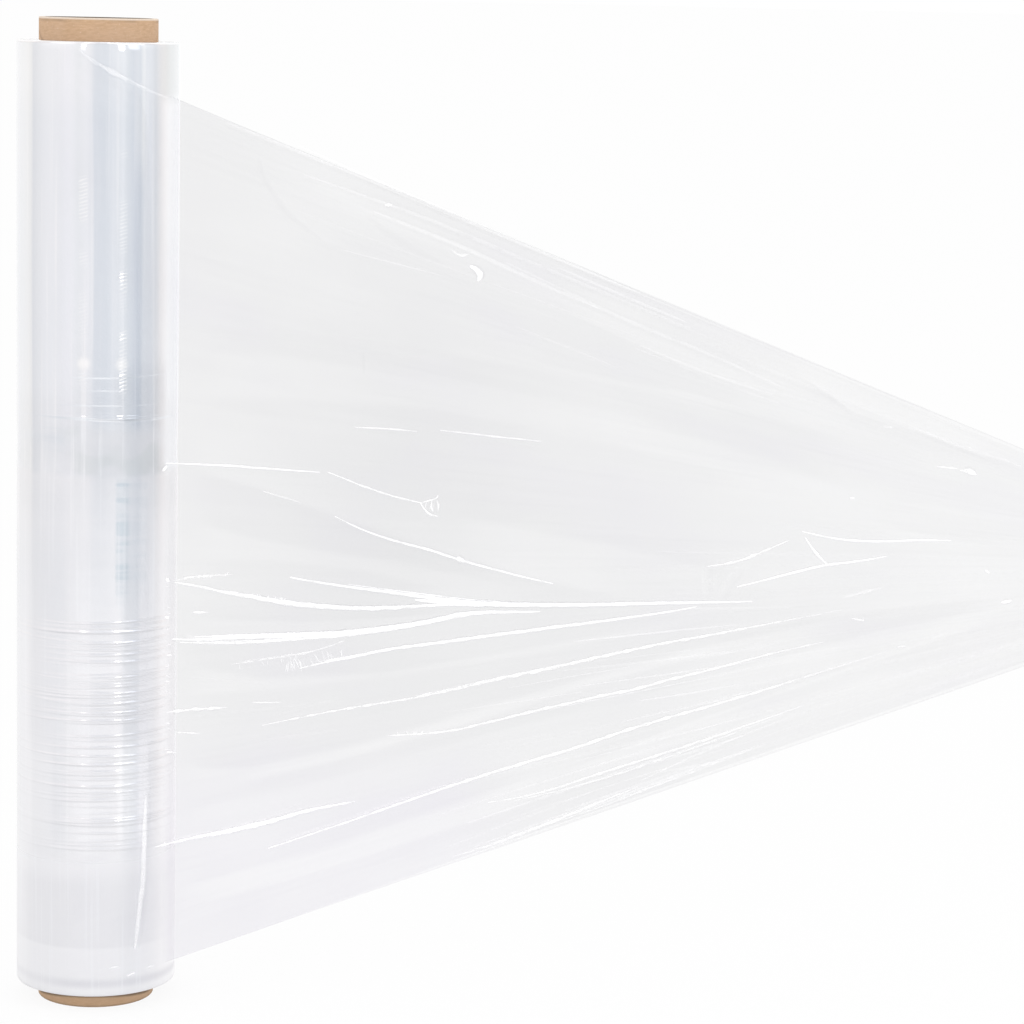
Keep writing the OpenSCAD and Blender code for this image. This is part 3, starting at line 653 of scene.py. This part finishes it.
class Look:
    """The nodes of one material or of the world, which start empty."""

    def __init__(self, owner):
        owner.use_nodes = True
        self.owner = owner
        self.tree = owner.node_tree
        self.tree.nodes.clear()

    def node(self, kind, settings=None, inputs=None, out=0):
        """Adds a node: its settings first, with "stops" for a ramp's, then its sockets' values
        or links, with colours as three numbers. Returns the output asked for, by number or name."""
        made = self.tree.nodes.new("ShaderNode" + kind)
        for key, value in (settings or {}).items():
            if key == "stops":
                self._stops(made.color_ramp, value)
            else:
                setattr(made, key, value)
        for key, value in (inputs or {}).items():
            socket = made.inputs[key]
            if isinstance(value, Num):
                self.tree.links.new(value.socket, socket)
            else:
                socket.default_value = (*value, 1) if socket.type == "RGBA" else value
        return Num(self, made.outputs[out]) if len(made.outputs) else made

    @staticmethod
    def _stops(color_ramp, stops):
        while len(color_ramp.elements) > 1:
            color_ramp.elements.remove(color_ramp.elements[-1])
        for index, (place, value) in enumerate(stops):
            stop = color_ramp.elements[0] if index == 0 else color_ramp.elements.new(place)
            stop.position = place
            stop.color = (*value, 1) if hasattr(value, "__len__") else (value, value, value, 1)

    def maths(self, operation, *values):
        return self.node("Math", {"operation": operation}, dict(enumerate(values)))

    def blend(self, share, first, second):
        """Colour between two, by share."""
        return self.node("Mix", {"data_type": "RGBA"}, {0: share, 6: first, 7: second}, 2)

    def layers(self, colour, *others):
        """A colour with others laid over it in turn, each by its share."""
        for share, other in others:
            colour = self.blend(share, colour, other)
        return colour

    def noise(self, place, scale, detail, rough=0.5):
        """Clouds as fine as scale says, with one number or with one for each direction."""
        if hasattr(scale, "__len__"):
            place, scale = self.node("Mapping", {}, {"Vector": place, "Scale": scale}), 1.0
        return self.node("TexNoise", {},
                         {"Vector": place, "Scale": scale, "Detail": detail, "Roughness": rough})

    def place(self):
        """The point's own place on the object, which moves with nothing."""
        return self.node("TexCoord", out="Object")

    def uv(self):
        return self.node("UVMap", {"uv_map": "film"})

    def told(self, name):
        """The value that tell has given the point."""
        return self.node("Attribute", {"attribute_name": name}, out="Fac")

    def xyz(self, place):
        split = self.node("SeparateXYZ", {}, {0: place}).socket.node
        return [Num(self, split.outputs[i]) for i in range(3)]

    def rays(self):
        """Whether the point is seen by gloss, and whether straight or through glass."""
        path = self.node("LightPath").socket.node.outputs
        seen = Num(self, path["Is Camera Ray"]) + Num(self, path["Is Transmission Ray"])
        return Num(self, path["Is Glossy Ray"]), seen

    def bump(self, height, strength, distance):
        return self.node("Bump", {},
                         {"Height": height, "Strength": strength, "Distance": distance})

    def clear(self, tint):
        """A shader that lets everything through, tinted."""
        return self.node("BsdfTransparent", {}, {"Color": tint})

    def mix(self, share, first, second):
        """Shader between two, by share."""
        return self.node("MixShader", {}, {0: share, 1: first, 2: second})

    def show(self, shader):
        world = isinstance(self.owner, bpy.types.World)
        self.node("OutputWorld" if world else "OutputMaterial", {}, {"Surface": shader})
        return self.owner


def material(name):
    return Look(bpy.data.materials.new(name))


WHITE = (1.0, 1.0, 1.0)
# Rise of the core's outer ply in one turn
PLY_PITCH = 105 * MM
# The film's shade on the core's foot is thinnest here across the front, and comes down from there
# by this much times the distance squared
SHADE_MIDDLE, SHADE_BOW = 1.8 * MM, 3.6


def kraft_board():
    """Brown paperboard: long fibres round the tube, flecks, and the spiral butt joint of the outer
    ply as a faint darker line. The upper rim is pale, with a darker edge below it. The lower end
    is shaded under the film and along its own rim, and the bore is painted dark as shade."""
    look = material("kraft_board")
    place = look.place()
    x, y, z = look.xyz(place)
    fibre = look.noise(place, (300, 300, 1400), 5.0, 0.6)
    cloud = look.noise(place, 55.0, 3.0)
    fleck = look.noise(place, 1500.0, 1.0).step(0.66, 0.74)
    turns = look.maths("ARCTAN2", y, x) / (2 * math.pi)
    spiral = look.maths("FRACT", turns + z / PLY_PITCH + 10.0)
    joint = spiral.band(0.0, 0.006, 0.012, 0.022)
    rim = z.step(CORE_HIGH.z - 1.1 * MM, CORE_HIGH.z - 0.5 * MM)
    under = z.step(CORE_HIGH.z - 2.4 * MM, CORE_HIGH.z - 1.4 * MM) * (1 - rim)
    aside = x - SHADE_MIDDLE
    shaded = (z + aside * aside * SHADE_BOW).step(4.3 * MM, 5.7 * MM) * z.step(12 * MM, 11 * MM)
    away = look.maths("SQRT", x * x + y * y)
    colour = look.layers(
        look.blend(fibre.step(0.25, 0.75), (0.56, 0.36, 0.215), (0.68, 0.46, 0.293)),
        (cloud.step(0.35, 0.7) * 0.4, (0.68, 0.48, 0.34)),
        (fleck * 0.5, (0.78, 0.63, 0.49)),
        (joint * 0.45, (0.36, 0.24, 0.16)),
        (under * cloud.step(0.35, 0.6) * 0.6, (0.38, 0.26, 0.17)),
        (rim * 0.7, (0.90, 0.81, 0.71)),
        (z.step(7.2 * MM, 5.2 * MM) * 0.35, (0.74, 0.52, 0.33)),
        (shaded * 0.75, (0.14, 0.10, 0.07)),
        (z.step(1.4 * MM, 0.4 * MM) * 0.4, (0.30, 0.21, 0.14)),
        # painted shade: the bore is painted dark
        (away.step(CORE_R - WALL + 0.4 * MM, CORE_R - WALL), (0.24, 0.19, 0.15)))
    height = fibre * 0.5 + fleck * 0.3 - joint * 1.5
    return look.show(look.node("BsdfPrincipled", {}, {
        "Base Color": colour, "Roughness": 0.82, "Specular IOR Level": 0.3,
        "Normal": look.bump(height, 0.5, 0.15 * MM)}))


def by_height(z, stops):
    """A value that changes with height on the roll, from stops in millimetres."""
    marks = [(height * MM / FILM_TOP, value) for height, value in stops]
    return z.look.node("ValToRGB", {"stops": marks}, {0: z / FILM_TOP})


# Where the wound film's tones, among them painted reflections, are 0 and where they are full,
# in metres. Up the roll, each starts or ends between these two heights:
TIGHT_FROM, SLACK_TO = (0.2605, 0.2645), (0.291, 0.281)
SWELL_FROM, SWELL_TO = (0.198, 0.215), (0.2625, 0.2585)
DARK_REFLECTION_TO, DIM_REFLECTION_FROM, DIM_REFLECTION_TO = (0.322, 0.306), (0.238, 0.250), (0.304, 0.294)
PALE_REFLECTION_HIGH_FROM, PALE_REFLECTION_LOW_TO, HEAD_FROM = (0.392, 0.425), (0.142, 0.122), (0.425, 0.450)
FOOT_TO, DULL_FROM, DULL_TO = (0.092, 0.070), (0.0315, 0.0335), (0.074, 0.062)
ARC = (0.0112, 0.0148, 0.0150, 0.0186)
# Across its front, with 0 over the core's axis, each spans these places:
DARK_REFLECTION_SPAN, DIM_REFLECTION_GAP = (0.010, 0.016, 0.033, 0.036), (0.006, 0.010, 0.027, 0.030)
PALE_REFLECTION_HIGH_SPAN = (0.0203, 0.0218, 0.0246, 0.0262)
PALE_REFLECTION_LOW_SPANS = (0.0135, 0.0165, 0.0255, 0.0285), (-0.031, -0.028, -0.019, -0.015)
LADDER_SPANS = (-0.0046, -0.0036, -0.0004, 0.0004), (0.0142, 0.0150, 0.0175, 0.0185)
# Places above the slack band where a highlight is painted white, for the shine of a bulge in
# the skin, and how far the painted highlight reaches
PAINTED_HIGHLIGHTS = [(15.9 * MM, -35.5 * MM, 315.5 * MM), (-1.7 * MM, -38.9 * MM, 316 * MM)]
HIGHLIGHT_EDGE = (4.5 * MM, 0.5 * MM)
# Height of one bar of the ladders of small ripples, from one to the next, and how strong the
# ladders are in the two lights that the roll mirrors, by height in millimetres. The ripples go
# to the bump, and their rungs are also painted white as glints.
BAR_STEP = 1.7 * MM
LEFT_LADDER = [(304, 0), (307, 0.5), (311, 0.6), (314, 0), (324, 0), (328, 0.3), (348, 0.4), (351, 0),
               (360, 0), (363, 0.5), (368, 0.5), (370, 0), (381, 0), (384, 0.7), (402, 0.8), (405, 0)]
RIGHT_LADDER = [(301, 0), (304, 1.0), (312, 1.0), (317, 0.6), (323, 0.5), (325, 0), (326.5, 1.0),
                (330, 1.0), (332, 0), (338, 0), (341, 0.3), (349, 0.3), (351, 0.8), (358, 1.0),
                (360, 0.2), (366, 0), (369, 0.5), (381, 0.7), (388, 0.4), (391, 0.6), (393, 0),
                (411, 0), (413, 0.4), (415, 0.4), (417, 0)]


def wound_look():
    """Many turns of clear film on each other: milky, a little blue, with a mirror-like skin whose
    fine cross ripples break the reflections. The upper part is tight, with two ladders of small
    ripples, and starts with a slack band. Below it the skin is slacker and duller. Darker and
    lighter reflections, white glints on the ladders' rungs and two highlights are also painted
    into its colour, with painted shade along its top edge and along a low ring."""
    look = material("wound_film")
    place = look.place()
    x, y, z = look.xyz(place)
    waver = look.noise(place, (9, 9, 30), 2.0) * 0.012 - 0.006
    level = z + waver
    ripple = look.noise(place, (22, 22, 300), 3.0, 0.6)
    upright = (look.noise(place, (420, 420, 6), 2.0, 0.6) - 0.5) * x.step(0.035, 0.029)
    cloud = look.noise(place, (30, 30, 14), 3.0)
    mottle = look.noise(place, (55, 55, 80), 1.0).step(0.46, 0.62)
    upper = z.step(*TIGHT_FROM)
    slack = upper * level.step(*SLACK_TO) * (0.15 + x.step(-0.016, 0.0) * 0.85)
    slack = slack * x.step(0.0345, 0.0295)
    foot = level.step(*FOOT_TO)
    dull = level.step(*DULL_TO) * z.step(*DULL_FROM)
    left, right = (x.band(*span) for span in LADDER_SPANS)
    left = left * by_height(z, LEFT_LADDER)
    right = right * y.step(0.0, -0.01) * by_height(z, RIGHT_LADDER)
    bars = look.maths("SINE", (z - x * 0.3) * (2 * math.pi / BAR_STEP) + ripple * 7)
    ladder = bars * (0.08 * left + 0.17 * right * right)
    painted_rung_glints = bars.step(0.1, 0.8) * (left * 0.7 + right * 0.9)

    # Stripes of painted dark reflection below the slack band, where the ripples also swell, and
    # painted darker and lighter reflections on parts of the skin
    swell_and_dark_reflection = level.step(*SWELL_FROM) * z.step(*SWELL_TO) * y.step(0.010, -0.004)
    swell_and_dark_reflection = swell_and_dark_reflection * x.step(0.0125, 0.0145) * (0.3 + x.step(0.0205, 0.0175) * 0.7)
    swell_and_dark_reflection = swell_and_dark_reflection * x.step(0.029, 0.026)
    stripes = 0.45 + ripple.step(0.44, 0.60) * 0.55
    dark_reflection_high = z.step(*DARK_REFLECTION_TO) * upper * x.band(*DARK_REFLECTION_SPAN)
    dim_reflection = level.step(*DIM_REFLECTION_TO) * z.step(*DIM_REFLECTION_FROM) * (1 - x.band(*DIM_REFLECTION_GAP) * 0.6)
    pale_reflection_high = x.band(*PALE_REFLECTION_HIGH_SPAN) * z.step(*PALE_REFLECTION_HIGH_FROM)
    pale_reflection_right, pale_reflection_left = (x.band(*span) for span in PALE_REFLECTION_LOW_SPANS)
    pale_reflection_low = (pale_reflection_right + pale_reflection_left * 0.5) * z.step(*PALE_REFLECTION_LOW_TO)
    pale_reflection_low = pale_reflection_low * (0.35 + z.step(0.078, 0.092) * 0.65)
    # painted shade along the top edge, which dims its highlight
    crest = z.step(FILM_TOP - 1.6 * MM, FILM_TOP - 0.8 * MM)
    bare = x.step(0.030, 0.035) * z.step(0.435, 0.443) * y.step(0.030, 0.006)
    # painted pale reflection of the backdrop on the two sides of the foot
    sides = x.step(0.026, 0.037) * 0.7 + x.step(-0.027, -0.037) * 0.5
    # painted dark line of shade along a low ring
    arc = (z + waver * 0.12).band(*ARC) * (0.2 + x.step(-0.028, 0.0) * 0.3)
    away = [look.node("VectorMath", {"operation": "DISTANCE"}, {0: place, 1: spot}, "Value")
            for spot in PAINTED_HIGHLIGHTS]
    colour = look.layers(
        look.blend(upper, (0.85, 0.85, 0.88), (0.80, 0.83, 0.88)),
        (level.step(0.170, 0.225) * (1 - upper) * 0.45, (0.74, 0.76, 0.80)),
        (stripes * swell_and_dark_reflection * 0.85, (0.55, 0.63, 0.70)),
        (dark_reflection_high * 0.85, (0.70, 0.73, 0.78)),
        (z.step(*HEAD_FROM) * 0.5, (0.87, 0.89, 0.92)),
        (dim_reflection * 0.25, (0.70, 0.72, 0.76)),
        (pale_reflection_high * 0.8, WHITE),
        (pale_reflection_low * 0.75, (0.97, 0.97, 0.99)),
        (crest * 0.8, (0.74, 0.74, 0.76)),
        (bare * 0.8, (0.62, 0.655, 0.68)),
        (slack * 0.8, (0.69, 0.70, 0.735)),
        (slack * mottle * 0.45, (0.60, 0.64, 0.655)),
        (foot, (0.85, 0.85, 0.875)),
        (dull * 0.6, (0.76, 0.76, 0.79)),
        (foot * sides, (0.93, 0.93, 0.95)),
        (arc, (0.60, 0.60, 0.65)),
        (cloud.step(0.3, 0.75) * 0.2, (0.88, 0.88, 0.91)),
        # painted highlights round the two places above the slack band
        *((gap.step(*HIGHLIGHT_EDGE) * 0.8, WHITE) for gap in away),
        # painted glints: the ladders' rungs painted white
        (painted_rung_glints, WHITE),
        (upright.step(0.04, 0.16) * (0.3 + upper * 0.2), (0.90, 0.91, 0.94)))
    return look.show(look.node("BsdfPrincipled", {}, {
        "Base Color": colour,
        "Metallic": 0.34 + upper * 0.18 - slack * 0.26 - foot * 0.22,
        "Roughness": 0.11 - upper * 0.05 + slack * 0.14 + foot * 0.20,
        "Normal": look.bump(ripple * (0.25 + swell_and_dark_reflection) + ladder + upright * 0.2, 0.5, 0.3 * MM)}))


def skin_look():
    """One layer of clear film: it holds back a little light, as its veil attribute says, with a
    slight haze and gloss that streaks along the pull. The lap on the roll starts fully clear."""
    look = material("drawn_film")
    uv = look.uv()
    along, _, _ = look.xyz(uv)
    x, _, z = look.xyz(look.place())
    streak = look.noise(uv, (4, 110, 1), 4.0, 0.6)
    patch = look.noise(uv, (6, 8, 1), 2.0)
    held = look.told("veil")
    open_air = look.clear(WHITE)
    tint = z.step(0.16, 0.08) * x.step(0.24, 0.16) + patch.step(0.50, 0.68) * 0.3
    tinted = look.mix(tint, look.clear((0.74, 0.74, 0.752)), look.clear((0.75, 0.73, 0.80)))
    haze = look.node("BsdfPrincipled", {}, {
        "Base Color": (0.86, 0.86, 0.88), "Roughness": 0.14, "Metallic": 0.35})
    gloss = (0.05 + streak.step(0.5, 0.8) * 0.02) * held.step(0.0, 0.12)
    held = held + (streak - 0.5) * 0.12 + (patch - 0.5) * 0.30
    film = look.mix(gloss, look.mix(held, open_air, tinted), haze)
    return look.show(look.mix(along.step(0.0, 0.03), open_air, film))


def tuck_look():
    """Doubled and puckered film along a crease: glossy, with a highlight painted white down its
    middle and a faint glow painted by its emission, a thin grey line of painted shade on each
    side, and broken up by small puckers where its attribute says so. A strand of negative
    brightness is a grey line alone."""
    look = material("film_tuck")
    uv = look.uv()
    _, across, _ = look.xyz(uv)
    bright, puckered = look.told("bright"), look.told("pucker")
    side = look.maths("ABSOLUTE", across)
    body = side.step(0.60, 0.28)
    fringe = side.band(0.42, 0.60, 0.72, 1.0)
    line = side.step(1.0, 0.2)
    pucker = look.noise(uv, (55, 1.3, 1), 3.0, 0.6)
    long_break = look.noise(uv, (13, 0.2, 1), 2.0)
    grain = look.noise(uv, (14, 5, 1), 2.0)
    broken = 1 - puckered * (1 - pucker.step(0.40, 0.56))
    broken = broken * (0.5 + long_break.step(0.34, 0.52) * 0.5)
    shine = bright.step(0.0, 1.0)
    share = body * broken * shine * (0.64 + grain.step(0.42, 0.58) * 0.26)
    # painted shade: grey fringes beside the white
    shade = fringe * shine * broken * 0.2 + line * bright.step(0.0, -0.8) * 0.8
    # painted highlight: white, with a faint emission glow
    white = look.node("BsdfPrincipled", {}, {
        "Base Color": (0.97, 0.97, 0.98), "Roughness": 0.22, "Metallic": 0.1,
        "Coat Weight": 0.5, "Emission Color": WHITE, "Emission Strength": 0.26})
    sides = look.mix(shade, look.clear(WHITE), look.clear((0.66, 0.66, 0.68)))
    return look.show(look.mix(share, sides, white))


def floor_look():
    """White floor: seen straight it is white paper under even light, and it keeps the shadow. The
    gloss looks past it to the room."""
    look = material("studio_floor")
    gloss, seen = look.rays()
    paper = look.node("BsdfDiffuse", {}, {"Color": (0.95, 0.95, 0.95)})
    white = look.node("Emission", {}, {"Color": WHITE, "Strength": 1.0})
    return look.show(look.mix(gloss, look.mix(seen * 0.9, paper, white), look.clear(WHITE)))


# Studio

# What the gloss sees round the roll, by the bearing from the front in degrees, right positive: a
# white backdrop behind, and lighter and darker parts of the room in front. The upper room is what
# the upper part of the roll mirrors, and the lower room what its lower part does.
UPPER_ROOM = [
    (-180, (1.0, 1.0, 1.0)), (-150, (1.06, 1.04, 1.02)), (-112, (1.09, 1.03, 0.96)),
    (-102, (1.00, 0.94, 0.87)), (-97, (0.78, 0.75, 0.74)), (-86, (0.88, 0.84, 0.82)),
    (-70, (0.98, 0.93, 0.91)), (-53, (0.98, 0.93, 0.91)), (-46, (0.96, 0.91, 0.90)),
    (-38, (1.02, 0.96, 0.96)), (-31, (1.04, 0.98, 0.97)), (-24, (0.98, 0.94, 0.92)),
    (-20, (0.95, 0.91, 0.89)), (-9, (1.01, 0.96, 0.95)), (-2, (0.92, 0.89, 0.89)),
    (3, (0.73, 0.74, 0.775)), (20, (0.73, 0.75, 0.785)), (27, (0.86, 0.86, 0.88)),
    (38, (0.87, 0.87, 0.88)), (43, (0.95, 0.95, 0.96)), (48, (0.76, 0.78, 0.80)),
    (56, (0.68, 0.71, 0.76)), (61, (0.545, 0.585, 0.66)), (68, (0.505, 0.565, 0.65)),
    (75, (0.84, 0.85, 0.87)), (86, (0.84, 0.84, 0.86)), (95, (0.70, 0.70, 0.71)),
    (104, (0.93, 0.87, 0.83)), (114, (1.18, 1.08, 1.01)),
    (126, (1.32, 1.26, 1.20)), (148, (1.36, 1.32, 1.28)), (180, (1.25, 1.25, 1.25)),
]
LOWER_ROOM = [
    (-180, (0.98, 0.98, 0.98)), (-150, (0.98, 0.98, 0.97)), (-110, (1.02, 1.00, 0.98)),
    (-98, (0.80, 0.79, 0.78)), (-60, (0.79, 0.79, 0.80)), (-44, (0.81, 0.82, 0.83)),
    (-36, (0.94, 0.93, 0.92)), (-12, (1.19, 1.18, 1.17)), (-4, (1.11, 1.10, 1.09)),
    (28, (1.11, 1.10, 1.09)), (36, (1.21, 1.18, 1.16)), (43.5, (1.06, 1.06, 1.07)),
    (48.5, (0.66, 0.69, 0.72)), (66, (0.62, 0.67, 0.72)), (74, (1.05, 1.05, 1.07)),
    (93, (0.98, 0.98, 0.99)), (103, (1.08, 1.05, 1.02)), (114, (1.27, 1.23, 1.19)),
    (126, (1.33, 1.30, 1.26)), (148, (1.27, 1.24, 1.21)), (180, (1.2, 1.2, 1.2)),
]
# The tones are shares of this one in the ramps, which hold nothing over 1
ROOM_TOP = 1.4
# The lower room gives way to the upper one where the sight line falls this steeply
ROOM_CHANGE = (-0.178, -0.150)
# How bright the room is far below, and how much brighter than level it is above
ROOM_BELOW, ROOM_ABOVE = 0.62, 0.25
# Strength of the even light on everything matt
SOFT_LIGHT = 0.94
# Upright strip lights that only the gloss sees: bearing and half width in degrees, strength
STRIPS = [(-12.9, 3.6, 2.4), (37.5, 4.6, 4.2), (57, 11, 0.9)]


def studio_world():
    """Even soft light for everything matt, a white room behind what is seen straight, and the
    room's lighter and darker parts for the gloss. They are brighter above and darker far below."""
    world = bpy.data.worlds.new("studio")
    bpy.context.scene.world = world
    look = Look(world)
    x, y, z = look.xyz(look.node("TexCoord", out="Generated"))
    bearing = look.maths("ARCTAN2", x, 0 - y)
    turn = bearing / (2 * math.pi) + 0.5
    rooms = []
    for stops in (UPPER_ROOM, LOWER_ROOM):
        marks = [((a + 180) / 360, [v / ROOM_TOP for v in c]) for a, c in stops]
        rooms.append(look.node("ValToRGB", {"stops": marks}, {0: turn}))
    room = look.blend(z.step(*ROOM_CHANGE), rooms[1], rooms[0])
    power = ROOM_BELOW + z.step(-0.42, -0.22) * (1 - ROOM_BELOW)
    power = power + z.step(0.02, 0.3) * ROOM_ABOVE
    for angle, half, extra in STRIPS:
        off = look.maths("ABSOLUTE", bearing - math.radians(angle))
        lit = off.step(math.radians(half), math.radians(half * 0.5))
        power = power + lit * z.step(0.03, 0.08) * extra
    gloss, seen = look.rays()
    colour = look.layers((SOFT_LIGHT, SOFT_LIGHT, SOFT_LIGHT), (gloss, room), (seen, WHITE))
    strength = 1 + gloss * (power * ROOM_TOP - 1)
    look.show(look.node("Background", {}, {"Color": colour, "Strength": strength}))


def lamp(name, bearing, height, distance, size, power):
    """Soft rectangular lamp on a bearing from the front in degrees, at a height, aimed at the
    roll's middle."""
    data = bpy.data.lights.new(name, "AREA")
    data.shape = "RECTANGLE"
    data.size, data.size_y = size
    data.energy = power
    made = put(name, data)
    a = math.radians(bearing)
    made.location = (distance * math.sin(a), -distance * math.cos(a), height)
    drop = math.atan2((FILM_LOW + FILM_TOP) / 2 - height, distance)
    made.rotation_euler = (math.pi / 2 + drop, 0, a)


def floor():
    """A square so wide that its edge is never seen."""
    half = 200.0
    mesh = bpy.data.meshes.new("floor")
    corners = [(-half, -half, 0), (half, -half, 0), (half, half, 0), (-half, half, 0)]
    mesh.from_pydata(corners, [], [(0, 1, 2, 3)])
    made = put("floor", mesh)
    made.data.materials.append(floor_look())


def camera():
    """The photograph's camera."""
    data = bpy.data.cameras.new("camera")
    data.lens, data.sensor_width = CAM_LENS, CAM_SENSOR
    data.clip_start, data.clip_end = 0.05, 600
    made = put("camera", data)
    made.location = CAM_PLACE
    made.rotation_euler = CAM_TURN.to_euler()
    bpy.context.scene.camera = made


def dress(piece, look, slot, *nodes):
    """Gives a new piece its finish, ties it to the roll and lets it stand for CAD nodes."""
    piece.data.materials.append(look)
    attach(piece, "root")
    if nodes:
        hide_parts(*nodes)


camera()
studio_world()
floor()
lamp("left_lamp", -13, 0.55, 1.5, (0.13, 0.12), 0.33)
lamp("right_lamp", 39, 0.55, 1.5, (0.17, 0.12), 0.36)
lamp("key_lamp", -50, 1.5, 1.6, (1.0, 1.0), 3)
lamp("fill_lamp", 60, 1.3, 1.6, (1.0, 1.0), 3)

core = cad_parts["core"]
core.data.materials.clear()
core.data.materials.append(kraft_board())

roll = wound_film()
dress(roll, wound_look(), "wound_film", "film_roll")
skin = drawn_film()
dress(skin, skin_look(), "drawn_film", "film_tail")
creases = crease_tucks()
dress(creases, tuck_look(), "drawn_film", "film_tail")

bpy.context.scene.view_settings.view_transform = "Standard"
